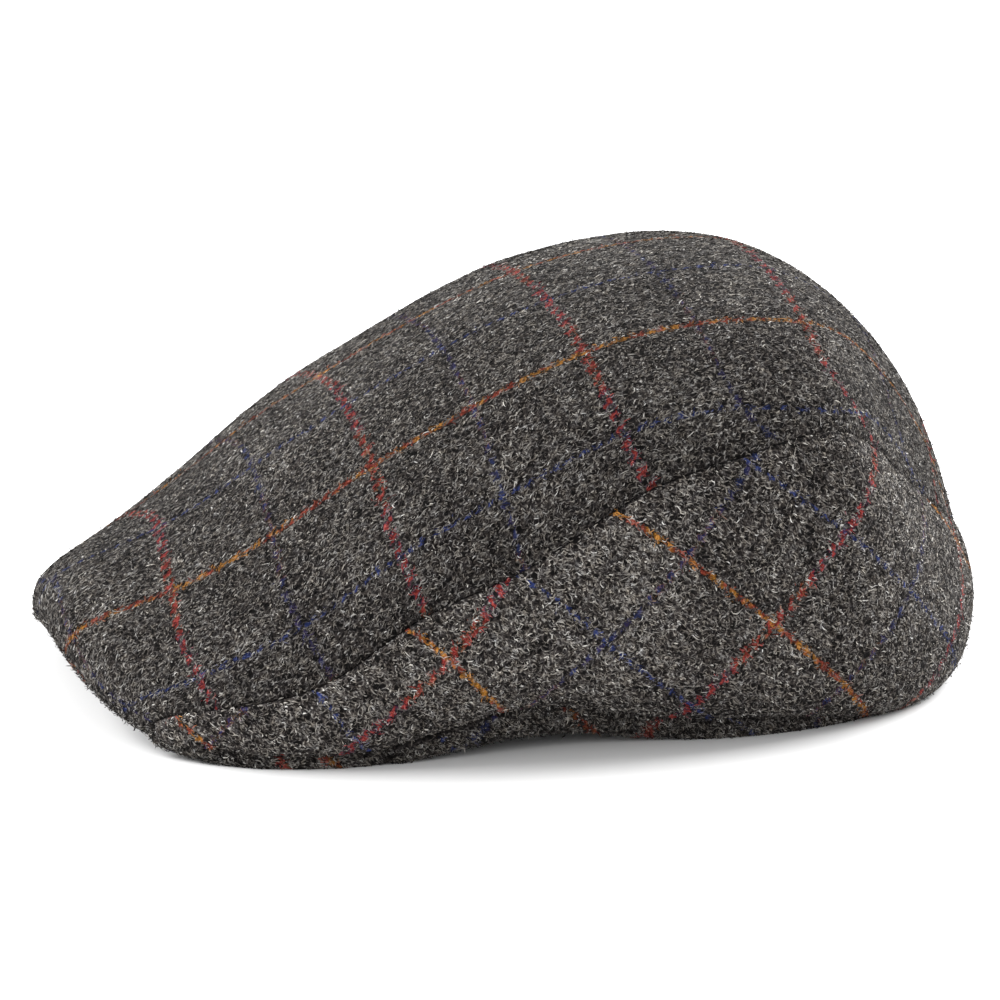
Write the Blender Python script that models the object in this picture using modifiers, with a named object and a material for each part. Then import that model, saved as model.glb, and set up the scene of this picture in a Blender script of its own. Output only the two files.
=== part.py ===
"""Tweed flat cap of the duckbill form: a sewn crown on a stiff peak and a turned-up band.

Units are metres, +Z is up and the cap rests on the floor z = 0. The peak points along -Y,
the cap is symmetric about x = 0 and its origin is on the floor under the middle.
"""
import math

import bpy
import numpy as np

LENGTH = 0.270          # peak's front edge to the back of the crown
WIDTH = 0.194           # across the seams and rim, before the sides' bulge
HEIGHT = 0.120          # floor to the top of the crown's cloth
CLOTH = 0.0025          # wall of the crown: tweed with its backing
PEAK_THICK = 0.0042     # stiff board between two layers of cloth
PEAK_DEPTH = 0.060      # front edge to the forehead line, at the middle
PEAK_RISE = 0.028       # forehead line above the front edge, at the middle
PEAK_HORN = 0.0065      # width left at each rear corner of the peak
BAND_THICK = 0.0030     # two layers of tweed
BAND_HEIGHT = 0.0085    # band's height where it lies on the floor
PEAK_LIP = 0.0040       # level lip of the peak that lies under the panels' edges
PEAK_CLEAR = 0.0005     # clearance between the panels' edges and the peak's lip
GAP = 0.0003            # clearance between neighbouring pieces
SEAM = 0.0009           # open width of a seam's ditch on the outside
CORNER = 0.0008         # clearance between the band's ends and the peak's rear corners
FLOOR_PRESS = 0.0004    # how much of the soft rim the floor flattens

HALF_WIDTH = WIDTH / 2

TOP_CELLS = (22, 34)    # top panel: faces across and along
SIDE_CELLS = (40, 8)    # side panel: faces along and down
PEAK_CELLS = (36, 7)    # peak: faces across and inwards
BAND_CELLS = (56, 2)    # band: faces along and down
FRONT_WAVE = math.pi * 0.74     # how much of a cosine wave the front edge's arch spans
TWEED_GREY = (0.115, 0.115, 0.110, 1.0)
TWEED_ROUGHNESS = 0.95

# The top panel's cross sections, from the front edge to the back seam. Lengths are shares:
# x of HALF_WIDTH, y of LENGTH from the middle, z of HEIGHT. "along" is the share of the seam.
# "round" makes the section fuller, "bow" is the power of its plan curve, and "wave" blends
# from a dome towards the cosine arch of the peak's edge.
TOP_COLUMNS = ("along", "seam_x", "seam_y", "seam_z", "ridge_y", "ridge_z", "round", "bow", "wave")
TOP_ROWS = (
    (0.00, 0.640, -0.433, 0.076, -0.496, 0.203, 0.30, 2.6, 1.0),
    (0.02, 0.660, -0.428, 0.092, -0.491, 0.258, 0.30, 2.6, 0.8),
    (0.08, 0.770, -0.390, 0.134, -0.410, 0.380, 0.40, 2.2, 0.3),
    (0.19, 0.890, -0.277, 0.200, -0.291, 0.563, 0.62, 2.0, 0.0),
    (0.30, 0.930, -0.180, 0.346, -0.191, 0.708, 0.80, 2.0, 0.0),
    (0.40, 0.950, -0.076, 0.443, -0.086, 0.835, 0.85, 2.0, 0.0),
    (0.53, 0.960, 0.055, 0.612, 0.036, 0.948, 0.87, 2.0, 0.0),
    (0.64, 0.930, 0.173, 0.679, 0.158, 1.000, 0.87, 2.0, 0.0),
    (0.74, 0.840, 0.277, 0.695, 0.273, 0.985, 0.86, 2.0, 0.0),
    (0.84, 0.680, 0.362, 0.553, 0.372, 0.850, 0.84, 2.0, 0.0),
    (0.92, 0.520, 0.423, 0.431, 0.446, 0.630, 0.75, 2.0, 0.0),
    (1.00, 0.360, 0.466, 0.352, 0.498, 0.305, 0.50, 2.0, 0.0),
)

# The rim's sections, from the seam's front end to the middle of the back. "lift" is the
# underside's height above the floor as a share of HEIGHT and "band" blends the edge's own
# height from the peak's to the band's. "reach" is how far a side panel carries on from the
# top panel before it turns down, as a share of its depth. "bulge" pushes its lower part out
# by a share of HALF_WIDTH, and "belly" is that part's height as a share of its depth.
RIM_COLUMNS = ("along", "rim_x", "rim_y", "lift", "band", "reach", "bulge", "belly")
RIM_ROWS = (
    (0.00, 0.640, -0.433, 0.026, 0.00, 0.20, 0.005, 0.40),
    (0.05, 0.725, -0.403, 0.014, 0.00, 0.25, 0.010, 0.40),
    (0.10, 0.805, -0.363, 0.005, 0.00, 0.28, 0.015, 0.35),
    (0.17, 0.875, -0.299, 0.000, 0.00, 0.30, 0.030, 0.30),
    (0.27, 0.900, -0.198, 0.004, 0.25, 0.33, 0.070, 0.22),
    (0.36, 0.900, -0.090, 0.038, 0.80, 0.36, 0.100, 0.18),
    (0.42, 0.900, -0.022, 0.039, 1.00, 0.36, 0.110, 0.15),
    (0.48, 0.915, 0.050, 0.020, 1.00, 0.36, 0.110, 0.12),
    (0.58, 0.945, 0.158, 0.000, 1.00, 0.35, 0.110, 0.11),
    (0.67, 0.925, 0.248, 0.000, 1.00, 0.34, 0.115, 0.09),
    (0.76, 0.845, 0.336, 0.000, 1.00, 0.36, 0.130, 0.07),
    (0.83, 0.690, 0.403, 0.000, 1.00, 0.36, 0.140, 0.05),
    (0.90, 0.440, 0.448, 0.000, 1.00, 0.34, 0.140, 0.05),
    (1.00, 0.000, 0.471, 0.000, 1.00, 0.33, 0.140, 0.05),
)
BACK_CORNER = 0.90      # share of a side panel's top edge where the back seam's arc begins
PEAK_END = 0.27         # share of the rim where the peak's rear corner meets the band
SIDE_TURN = (0.40, 0.68)        # shares between which a side panel's sections turn square to the rim
SIDE_START = 0.012      # share of the seam where a side panel's blunt front tip begins


def read_table(columns, rows):
    """Return the rows as one array for each column name."""
    return dict(zip(columns, np.array(rows, dtype=float).T))


TOP = read_table(TOP_COLUMNS, TOP_ROWS)
RIM = read_table(RIM_COLUMNS, RIM_ROWS)


def spline_bends(knots, values, level_end):
    """Second derivatives at the knots of a cubic spline, with a free or a level far end."""
    span = np.diff(knots)
    climb = np.diff(values) / span
    count = len(knots)
    system, target = np.eye(count), np.zeros(count)
    inner = np.arange(1, count - 1)
    system[inner, inner - 1] = span[:-1]
    system[inner, inner] = 2 * (span[:-1] + span[1:])
    system[inner, inner + 1] = span[1:]
    target[inner] = 6 * np.diff(climb)
    if level_end:
        system[-1, -2:] = span[-1], 2 * span[-1]
        target[-1] = -6 * climb[-1]
    return np.linalg.solve(system, target)


def smooth(table, column, at):
    """Read a column at the given shares, along the cubic spline through its values.

    The rim's columns end level in the middle of the back, where its two halves meet, apart
    from x, which runs straight through.
    """
    knots, values = table["along"], table[column]
    bends = spline_bends(knots, values, table is RIM and column != "rim_x")
    at = np.asarray(at, dtype=float)
    i = np.clip(np.searchsorted(knots, at, side="right") - 1, 0, len(knots) - 2)
    step = knots[i + 1] - knots[i]
    u = (at - knots[i]) / step
    w = 1 - u
    return (values[i] * w + values[i + 1] * u
            + step ** 2 / 6 * (bends[i] * (w ** 3 - w) + bends[i + 1] * (u ** 3 - u)))


def points(x, y, z):
    """Join three coordinate arrays into one array of points."""
    return np.stack(np.broadcast_arrays(x, y, z), axis=-1)


def top_surface(across, along):
    """Outer face of the top panel: across runs -1 to 1 between seams, along 0 to 1 front to back.

    Each section spans its two seam points. Its height follows an elliptic arc, blended at the
    front with a cosine wave, and its plan bows towards the section's ridge point.
    """
    turn = 0.5 * math.pi * smooth(TOP, "round", along)
    share = np.sin(turn * across) / np.sin(turn)
    dome = (np.cos(turn * across) - np.cos(turn)) / (1 - np.cos(turn))
    arch = (np.cos(FRONT_WAVE * share) - math.cos(FRONT_WAVE)) / (1 - math.cos(FRONT_WAVE))
    wave = smooth(TOP, "wave", along)
    rise = dome * (1 - wave) + arch * wave
    bow = 1 - np.abs(share) ** smooth(TOP, "bow", along)
    seam_y, seam_z = smooth(TOP, "seam_y", along), smooth(TOP, "seam_z", along)
    y = seam_y + (smooth(TOP, "ridge_y", along) - seam_y) * bow
    z = seam_z + (smooth(TOP, "ridge_z", along) - seam_z) * rise
    return points(smooth(TOP, "seam_x", along) * share * HALF_WIDTH, y * LENGTH, z * HEIGHT)


def edge_height(along):
    """Height of the peak's edge, growing into the band's height, with the clearance above it."""
    return PEAK_THICK + GAP + smooth(RIM, "band", along) * (BAND_HEIGHT - PEAK_THICK)


def rim_line(along):
    """Lower edge of a side panel, on the left (+X) side."""
    z = smooth(RIM, "lift", along) * HEIGHT + edge_height(along) - FLOOR_PRESS
    return points(smooth(RIM, "rim_x", along) * HALF_WIDTH, smooth(RIM, "rim_y", along) * LENGTH, z)


def unit(vectors):
    """Scale vectors to length 1."""
    return vectors / np.linalg.norm(vectors, axis=-1, keepdims=True)


def seam_line(along, inside=0.0):
    """A side panel's top edge: the seam and, past BACK_CORNER, half of the back seam.

    With inside above 0 the points lie that share further in on the top panel.
    """
    around = np.clip((1 - along) / (1 - BACK_CORNER), 0, 1)
    return top_surface(around * (1 - inside), np.minimum(along / BACK_CORNER, 1) * (1 - inside))


def run_along(line, along):
    """Direction of a line at the given shares, front to back and round to the middle."""
    step = 0.004
    run = line(np.minimum(along + step, 1)) - line(np.maximum(along - step, 0))
    run[along >= 1 - step] = (-1.0, 0.0, 0.0)
    return unit(run)


def onward_from_top(along):
    """Unit vectors in which the top panel's face carries on past its seam."""
    run = run_along(seam_line, along)
    inward = seam_line(along, 0.03) - seam_line(along)
    return unit(-inward + run * np.sum(inward * run, axis=-1, keepdims=True))


def side_surface(along, down):
    """Outer face of the left side panel: along 0 to 1 front to back, down 0 to 1 seam to rim.

    Each section is a cubic curve from the seam to the rim. It leaves the seam in the top
    panel's direction, which from the middle of the side on heads square to the rim in plan.
    The table pushes the section's lower part out into a belly.
    """
    seam, rim = seam_line(along), rim_line(along)
    run = run_along(rim_line, along)
    out = unit(points(run[..., 1], -run[..., 0], 0.0))
    depth = np.linalg.norm(rim - seam, axis=-1, keepdims=True)
    onward = onward_from_top(along)
    level = np.linalg.norm(onward[..., :2], axis=-1, keepdims=True)
    turn = np.clip((along - SIDE_TURN[0]) / (SIDE_TURN[1] - SIDE_TURN[0]), 0, 1)[..., None]
    turn = turn * turn * (3 - 2 * turn)
    heading = onward[..., :2] * (1 - turn) + out[..., :2] * level * turn
    onward[..., :2] = unit(heading) * level
    shoulder = seam + onward * depth * smooth(RIM, "reach", along)[..., None]
    belly = rim + out * HALF_WIDTH * smooth(RIM, "bulge", along)[..., None]
    belly[..., 2] += depth[..., 0] * smooth(RIM, "belly", along)
    v = down[..., None]
    return (seam * (1 - v) ** 3 + 3 * shoulder * v * (1 - v) ** 2
            + 3 * belly * v * v * (1 - v) + rim * v ** 3)


def peak_edge(across):
    """Top of the peak's outer edge: half of it under the top panel, the rest under the sides."""
    side = np.abs(across)
    front = top_surface(np.clip(across * 2, -1, 1), np.zeros_like(across))
    flank = rim_line(np.clip(side * 2 - 1, 0, 1) * PEAK_END)
    flank[..., 0] *= np.sign(across)
    return np.where((side < 0.499)[..., None], front, flank)


def peak_surface(across, inward):
    """Top face of the peak: across -1 to 1 between its rear corners, inward 0 to 1.

    It leaves its outer edge level, under the panels' cut edges, and then climbs to the
    forehead line, which is half an ellipse in plan and an arch in height.
    """
    outer = peak_edge(across)
    turn = across * 0.5 * math.pi
    corner = peak_edge(np.ones_like(across))
    front = peak_edge(np.zeros_like(across))
    arch = np.cos(turn) ** 1.3
    inner = points((corner[..., 0] - PEAK_HORN) * np.sin(turn),
                   corner[..., 1] + (front[..., 1] + PEAK_DEPTH - corner[..., 1]) * np.cos(turn),
                   corner[..., 2] + (front[..., 2] + PEAK_RISE - corner[..., 2]) * arch)
    depth = np.linalg.norm(inner - outer, axis=-1)
    ledge = np.minimum(PEAK_LIP / depth, 0.5)
    first = 1 / PEAK_CELLS[1]
    climb = np.clip((inward - first) / (1 - first), 0, 1)
    share = ledge * np.minimum(inward / first, 1) + (1 - ledge) * climb
    face = outer + (inner - outer) * share[..., None]
    face[..., 2] = outer[..., 2] + (inner[..., 2] - outer[..., 2]) * climb - PEAK_CLEAR
    return face


def band_surface(along, down):
    """Outer face of the band's left half: along from the peak's corner to the middle back."""
    top = rim_line(along)
    top[..., 2] -= GAP
    foot = smooth(RIM, "lift", along) * HEIGHT - FLOOR_PRESS
    top[..., 2] += (foot - top[..., 2]) * down
    return top


def grid(cells, low=(0.0, 0.0)):
    """Two parameter arrays over a grid of cells, from low to 1."""
    return np.meshgrid(np.linspace(low[0], 1, cells[0] + 1), np.linspace(low[1], 1, cells[1] + 1),
                       indexing="ij")


def draw_in(sheet, distance):
    """Move a sheet's last row of points back over the sheet, by a quarter of it at most."""
    back = unit(sheet[-2] - sheet[-1])
    depth = np.linalg.norm(sheet[0] - sheet[-1], axis=-1)
    sheet[-1] += back * np.minimum(distance, depth / 4)[:, None]


def wall_sag(sheet, wall):
    """How far a sheet must draw in its last row so that its wall's cut edge, which is square
    to the face, doesn't hang below the line of the row and into the piece beneath."""
    down = unit(sheet[-1] - sheet[-2])
    inward = unit(np.cross(np.gradient(sheet[-1], axis=0), down))
    return wall * np.maximum(-inward[:, 2], 0) / np.maximum(-down[:, 2], 0.5)


def make_piece(name, sheet, wall, collection):
    """Make an open sheet of quads from a grid of points and give it a wall inwards."""
    rows, columns = sheet.shape[:2]
    index = np.arange(rows * columns).reshape(rows, columns)
    quads = np.stack([index[:-1, :-1], index[1:, :-1], index[1:, 1:], index[:-1, 1:]], axis=-1)
    mesh = bpy.data.meshes.new(name)
    mesh.from_pydata(sheet.reshape(-1, 3).tolist(), [], quads.reshape(-1, 4).tolist())
    mesh.validate()
    mesh.shade_smooth()
    piece = bpy.data.objects.new(name, mesh)
    collection.objects.link(piece)
    shell = piece.modifiers.new("wall", "SOLIDIFY")
    shell.thickness = wall
    shell.offset = -1
    material = bpy.data.materials.new(name)
    material.use_nodes = True
    shader = material.node_tree.nodes["Principled BSDF"]
    shader.inputs["Base Color"].default_value = TWEED_GREY
    shader.inputs["Roughness"].default_value = TWEED_ROUGHNESS
    mesh.materials.append(material)
    return piece


def make_floor_cutter(collection):
    """A block under the floor plane, which flattens what would sink below it."""
    bpy.ops.mesh.primitive_cube_add(size=1)
    cutter = bpy.context.object
    cutter.name = "floor_cutter"
    for holder in list(cutter.users_collection):
        holder.objects.unlink(cutter)
    collection.objects.link(cutter)
    cutter.scale = (2 * WIDTH, 2 * LENGTH, HEIGHT)
    cutter.location = (0, 0, -HEIGHT / 2)
    cutter.hide_render = True
    cutter.display_type = "WIRE"
    return cutter


def flatten(piece, cutter):
    """Cut the piece level with the floor where it rests."""
    cut = piece.modifiers.new("rest", "BOOLEAN")
    cut.operation = "DIFFERENCE"
    cut.solver = "EXACT"
    cut.object = cutter


def top_sheet():
    """Points of the top panel, drawn in from its seams."""
    across, along = grid(TOP_CELLS, (-1.0, 0.0))
    top = top_surface(across, along)
    draw_in(top, SEAM / 2)
    draw_in(top[::-1], SEAM / 2)
    ends = top.swapaxes(0, 1)
    draw_in(ends, SEAM / 2)
    draw_in(ends[::-1], wall_sag(ends[::-1], CLOTH))
    return top


def side_sheet():
    """Points of the left side panel, drawn in from its seams."""
    along, down = grid(SIDE_CELLS, (SIDE_START, 0.0))
    side = side_surface(along, down)
    draw_in(side, SEAM / 2)
    levels = side.swapaxes(0, 1)
    draw_in(levels[::-1], SEAM / 2)
    draw_in(levels, wall_sag(levels, CLOTH))
    return side


def band_sheet():
    """Points of the whole band, from the peak's right corner round the back to the left one."""
    way, down = grid(BAND_CELLS, (-1.0, 0.0))
    band = band_surface(PEAK_END + (1 - PEAK_END) * (1 - np.abs(way)), down)
    band[..., 0] *= np.sign(way)
    draw_in(band, CORNER)
    draw_in(band[::-1], CORNER)
    return band


def build():
    """Build the five sewn pieces of the cap, centred on the origin from front to back."""
    for item in list(bpy.data.objects):
        bpy.data.objects.remove(item, do_unlink=True)
    cap = bpy.data.collections.new("flat_cap")
    cutters = bpy.data.collections.new("cutters")
    bpy.context.scene.collection.children.link(cap)
    bpy.context.scene.collection.children.link(cutters)

    side = side_sheet()
    sheets = {
        "top_panel": top_sheet(),
        "side_panel_left": side[:, ::-1],
        "side_panel_right": side * np.array([-1.0, 1.0, 1.0]),
        "peak": peak_surface(*grid(PEAK_CELLS, (-1.0, 0.0))),
        "band": band_sheet(),
    }
    walls = {"peak": PEAK_THICK, "band": BAND_THICK}
    ends = [sheet[..., 1] for sheet in sheets.values()]
    middle = (min(y.min() for y in ends) + max(y.max() for y in ends)) / 2
    pieces = {}
    for name, sheet in sheets.items():
        centred = sheet - np.array([0.0, middle, 0.0])
        pieces[name] = make_piece(name, centred, walls.get(name, CLOTH), cap)
    floor = make_floor_cutter(cutters)
    flatten(pieces["peak"], floor)
    flatten(pieces["band"], floor)


build()
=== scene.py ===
"""Looks for the tweed flat cap: sewn cloth panels with a woven check, seams and wool fibres.

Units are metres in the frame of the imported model: the peak points along -Y, the wearer's left
is +X. The panels' surfaces are the same functions of two shares as the solids', at finer steps.
"""
import math

import bpy
import numpy as np
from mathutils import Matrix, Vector


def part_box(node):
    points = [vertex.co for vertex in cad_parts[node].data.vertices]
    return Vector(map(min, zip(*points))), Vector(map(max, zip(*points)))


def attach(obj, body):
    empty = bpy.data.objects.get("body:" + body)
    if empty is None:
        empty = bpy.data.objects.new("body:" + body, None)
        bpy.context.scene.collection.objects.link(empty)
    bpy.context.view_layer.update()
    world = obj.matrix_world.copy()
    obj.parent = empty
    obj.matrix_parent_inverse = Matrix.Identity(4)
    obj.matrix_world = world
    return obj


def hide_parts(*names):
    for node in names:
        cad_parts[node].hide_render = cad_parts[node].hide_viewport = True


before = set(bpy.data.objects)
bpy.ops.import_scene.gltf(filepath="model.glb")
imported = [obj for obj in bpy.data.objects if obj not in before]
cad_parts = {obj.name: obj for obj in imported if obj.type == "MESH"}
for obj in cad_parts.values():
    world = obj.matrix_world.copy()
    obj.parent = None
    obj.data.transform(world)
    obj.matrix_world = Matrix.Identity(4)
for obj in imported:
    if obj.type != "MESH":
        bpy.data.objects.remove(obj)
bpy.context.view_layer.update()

# The cap's named sizes, as in its solids.
LENGTH = 0.270  # peak's front edge to the back of the crown
WIDTH = 0.194  # across the seams and rim, before the sides' bulge
HEIGHT = 0.120  # floor to the top of the crown's cloth
CLOTH = 0.0025  # wall of the crown
PEAK_THICK = 0.0042
PEAK_DEPTH = 0.060  # front edge to the forehead line, at the middle
PEAK_RISE = 0.028  # forehead line above the front edge, at the middle
PEAK_HORN = 0.0065  # width left at each rear corner of the peak
BAND_THICK = 0.0030
BAND_HEIGHT = 0.0085
PEAK_LIP = 0.0040  # level lip of the peak under the panels' edges
PEAK_CLEAR = 0.0005
PEAK_ROWS = 7  # rows of the peak's solid, from its edge inwards
GAP = 0.0003  # clearance between neighbouring pieces
FLOOR_PRESS = 0.0004  # how much of the soft rim the floor flattens

HALF_WIDTH = WIDTH / 2
FRONT_WAVE = math.pi * 0.74  # part of a cosine wave that the front edge's arch spans
PEAK_ARCH = 1.3  # power of the cosine that the forehead line's height follows
PEAK_FRONT = 0.499  # share of each half of its edge under the top panel, just under half
RUN_STEP = 0.004  # share to both sides of a point for reading a line's direction
TOP_INSIDE = 0.03  # share further in on the top panel for reading its slope

# The top panel's cross sections, from the front edge to the back seam. Lengths are shares:
# x of HALF_WIDTH, y of LENGTH from the middle, z of HEIGHT. "along" is the share of the seam.
# "round" makes the section fuller, "bow" is the power of its plan curve, and "wave" blends
# from a dome towards the cosine arch of the peak's edge.
TOP_COLUMNS = ("along", "seam_x", "seam_y", "seam_z", "ridge_y", "ridge_z", "round", "bow", "wave")
TOP_ROWS = (
    (0.00, 0.640, -0.433, 0.076, -0.496, 0.203, 0.30, 2.6, 1.0),
    (0.02, 0.660, -0.428, 0.092, -0.491, 0.258, 0.30, 2.6, 0.8),
    (0.08, 0.770, -0.390, 0.134, -0.410, 0.380, 0.40, 2.2, 0.3),
    (0.19, 0.890, -0.277, 0.200, -0.291, 0.563, 0.62, 2.0, 0.0),
    (0.30, 0.930, -0.180, 0.346, -0.191, 0.708, 0.80, 2.0, 0.0),
    (0.40, 0.950, -0.076, 0.443, -0.086, 0.835, 0.85, 2.0, 0.0),
    (0.53, 0.960, 0.055, 0.612, 0.036, 0.948, 0.87, 2.0, 0.0),
    (0.64, 0.930, 0.173, 0.679, 0.158, 1.000, 0.87, 2.0, 0.0),
    (0.74, 0.840, 0.277, 0.695, 0.273, 0.985, 0.86, 2.0, 0.0),
    (0.84, 0.680, 0.362, 0.553, 0.372, 0.850, 0.84, 2.0, 0.0),
    (0.92, 0.520, 0.423, 0.431, 0.446, 0.630, 0.75, 2.0, 0.0),
    (1.00, 0.360, 0.466, 0.352, 0.498, 0.305, 0.50, 2.0, 0.0),
)

# The rim's sections, from the seam's front end to the middle of the back. "lift" is the
# underside's height above the floor as a share of HEIGHT and "band" blends the edge's own
# height from the peak's to the band's. "reach" is how far a side panel carries on from the
# top panel before it turns down, as a share of its depth. "bulge" pushes its lower part out
# by a share of HALF_WIDTH, and "belly" is that part's height as a share of its depth.
RIM_COLUMNS = ("along", "rim_x", "rim_y", "lift", "band", "reach", "bulge", "belly")
RIM_ROWS = (
    (0.00, 0.640, -0.433, 0.026, 0.00, 0.20, 0.005, 0.40),
    (0.05, 0.725, -0.403, 0.014, 0.00, 0.25, 0.010, 0.40),
    (0.10, 0.805, -0.363, 0.005, 0.00, 0.28, 0.015, 0.35),
    (0.17, 0.875, -0.299, 0.000, 0.00, 0.30, 0.030, 0.30),
    (0.27, 0.900, -0.198, 0.004, 0.25, 0.33, 0.070, 0.22),
    (0.36, 0.900, -0.090, 0.038, 0.80, 0.36, 0.100, 0.18),
    (0.42, 0.900, -0.022, 0.039, 1.00, 0.36, 0.110, 0.15),
    (0.48, 0.915, 0.050, 0.020, 1.00, 0.36, 0.110, 0.12),
    (0.58, 0.945, 0.158, 0.000, 1.00, 0.35, 0.110, 0.11),
    (0.67, 0.925, 0.248, 0.000, 1.00, 0.34, 0.115, 0.09),
    (0.76, 0.845, 0.336, 0.000, 1.00, 0.36, 0.130, 0.07),
    (0.83, 0.690, 0.403, 0.000, 1.00, 0.36, 0.140, 0.05),
    (0.90, 0.440, 0.448, 0.000, 1.00, 0.34, 0.140, 0.05),
    (1.00, 0.000, 0.471, 0.000, 1.00, 0.33, 0.140, 0.05),
)
BACK_CORNER = 0.90  # share of a side panel's top edge where the back seam's arc begins
PEAK_END = 0.27  # share of the rim where the peak's rear corner meets the band
SIDE_TURN = (0.40, 0.68)  # shares where a side panel's sections turn square to the rim


def read_table(columns, rows):
    """Return the rows as one array for each column name."""
    return dict(zip(columns, np.array(rows, dtype=float).T))


TOP = read_table(TOP_COLUMNS, TOP_ROWS)
RIM = read_table(RIM_COLUMNS, RIM_ROWS)


def spline_bends(knots, values, level_end):
    """Second derivatives at the knots of a cubic spline, with a free or a level far end."""
    span = np.diff(knots)
    climb = np.diff(values) / span
    count = len(knots)
    system, target = np.eye(count), np.zeros(count)
    inner = np.arange(1, count - 1)
    system[inner, inner - 1] = span[:-1]
    system[inner, inner] = 2 * (span[:-1] + span[1:])
    system[inner, inner + 1] = span[1:]
    target[inner] = 6 * np.diff(climb)
    if level_end:
        system[-1, -2:] = span[-1], 2 * span[-1]
        target[-1] = -6 * climb[-1]
    return np.linalg.solve(system, target)


def smooth(table, column, at):
    """Read a column at the given shares, along the cubic spline through its values.

    The rim's columns end level in the middle of the back, where its two halves meet, apart
    from x, which runs straight through.
    """
    knots, values = table["along"], table[column]
    bends = spline_bends(knots, values, table is RIM and column != "rim_x")
    at = np.asarray(at, dtype=float)
    i = np.clip(np.searchsorted(knots, at, side="right") - 1, 0, len(knots) - 2)
    step = knots[i + 1] - knots[i]
    u = (at - knots[i]) / step
    w = 1 - u
    return (values[i] * w + values[i + 1] * u
            + step ** 2 / 6 * (bends[i] * (w ** 3 - w) + bends[i + 1] * (u ** 3 - u)))


def ease(share):
    """Turn a share from 0 to 1 into one that starts and ends level."""
    return share * share * (3 - 2 * share)


def points(x, y, z):
    """Join three coordinate arrays into one array of points."""
    return np.stack(np.broadcast_arrays(x, y, z), axis=-1)


def top_surface(across, along):
    """Outer face of the top panel: across runs -1 to 1 between seams, along 0 to 1 front to back.

    Each section spans its two seam points. Its height follows an elliptic arc, blended at the
    front with a cosine wave, and its plan bows towards the section's ridge point.
    """
    turn = 0.5 * math.pi * smooth(TOP, "round", along)
    share = np.sin(turn * across) / np.sin(turn)
    dome = (np.cos(turn * across) - np.cos(turn)) / (1 - np.cos(turn))
    arch = (np.cos(FRONT_WAVE * share) - math.cos(FRONT_WAVE)) / (1 - math.cos(FRONT_WAVE))
    wave = smooth(TOP, "wave", along)
    rise = dome * (1 - wave) + arch * wave
    bow = 1 - np.abs(share) ** smooth(TOP, "bow", along)
    seam_y, seam_z = smooth(TOP, "seam_y", along), smooth(TOP, "seam_z", along)
    y = seam_y + (smooth(TOP, "ridge_y", along) - seam_y) * bow
    z = seam_z + (smooth(TOP, "ridge_z", along) - seam_z) * rise
    return points(smooth(TOP, "seam_x", along) * share * HALF_WIDTH, y * LENGTH, z * HEIGHT)


def edge_height(along):
    """Height of the peak's edge, growing into the band's height, with the clearance above it."""
    return PEAK_THICK + GAP + smooth(RIM, "band", along) * (BAND_HEIGHT - PEAK_THICK)


def rim_line(along):
    """Lower edge of a side panel, on the left (+X) side."""
    z = smooth(RIM, "lift", along) * HEIGHT + edge_height(along) - FLOOR_PRESS
    return points(smooth(RIM, "rim_x", along) * HALF_WIDTH, smooth(RIM, "rim_y", along) * LENGTH, z)


def unit(vectors):
    """Scale vectors to length 1."""
    return vectors / np.linalg.norm(vectors, axis=-1, keepdims=True)


def seam_line(along, inside=0.0):
    """A side panel's top edge: the seam and, past BACK_CORNER, half of the back seam.

    With inside above 0 the points lie that share further in on the top panel.
    """
    around = np.clip((1 - along) / (1 - BACK_CORNER), 0, 1)
    return top_surface(around * (1 - inside), np.minimum(along / BACK_CORNER, 1) * (1 - inside))


def run_along(line, along):
    """Direction of a line at the given shares, front to back and round to the middle."""
    run = line(np.minimum(along + RUN_STEP, 1)) - line(np.maximum(along - RUN_STEP, 0))
    run[along >= 1 - RUN_STEP] = (-1.0, 0.0, 0.0)
    return unit(run)


def outward(along):
    """Level direction away from the left half of the rim."""
    run = run_along(rim_line, along)
    return unit(points(run[..., 1], -run[..., 0], 0.0))


def onward_from_top(along):
    """Unit vectors in which the top panel's face carries on past its seam."""
    run = run_along(seam_line, along)
    inward = seam_line(along, TOP_INSIDE) - seam_line(along)
    return unit(-inward + run * np.sum(inward * run, axis=-1, keepdims=True))


def side_surface(along, down):
    """Outer face of the left side panel: along 0 to 1 front to back, down 0 to 1 seam to rim.

    Each section is a cubic curve from the seam to the rim. It leaves the seam in the top
    panel's direction, which from the middle of the side on heads square to the rim in plan.
    The table pushes the section's lower part out into a belly.
    """
    seam, rim = seam_line(along), rim_line(along)
    out = outward(along)
    depth = np.linalg.norm(rim - seam, axis=-1, keepdims=True)
    onward = onward_from_top(along)
    level = np.linalg.norm(onward[..., :2], axis=-1, keepdims=True)
    turn = ease(np.clip((along - SIDE_TURN[0]) / (SIDE_TURN[1] - SIDE_TURN[0]), 0, 1))[..., None]
    heading = onward[..., :2] * (1 - turn) + out[..., :2] * level * turn
    onward[..., :2] = unit(heading) * level
    shoulder = seam + onward * depth * smooth(RIM, "reach", along)[..., None]
    belly = rim + out * HALF_WIDTH * smooth(RIM, "bulge", along)[..., None]
    belly[..., 2] += depth[..., 0] * smooth(RIM, "belly", along)
    v = down[..., None]
    return (seam * (1 - v) ** 3 + 3 * shoulder * v * (1 - v) ** 2
            + 3 * belly * v * v * (1 - v) + rim * v ** 3)


def peak_edge(across):
    """Top of the peak's outer edge: half of it under the top panel, the rest under the sides."""
    side = np.abs(across)
    front = top_surface(np.clip(across * 2, -1, 1), np.zeros_like(across))
    flank = rim_line(np.clip(side * 2 - 1, 0, 1) * PEAK_END)
    flank[..., 0] *= np.sign(across)
    return np.where((side < PEAK_FRONT)[..., None], front, flank)


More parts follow.
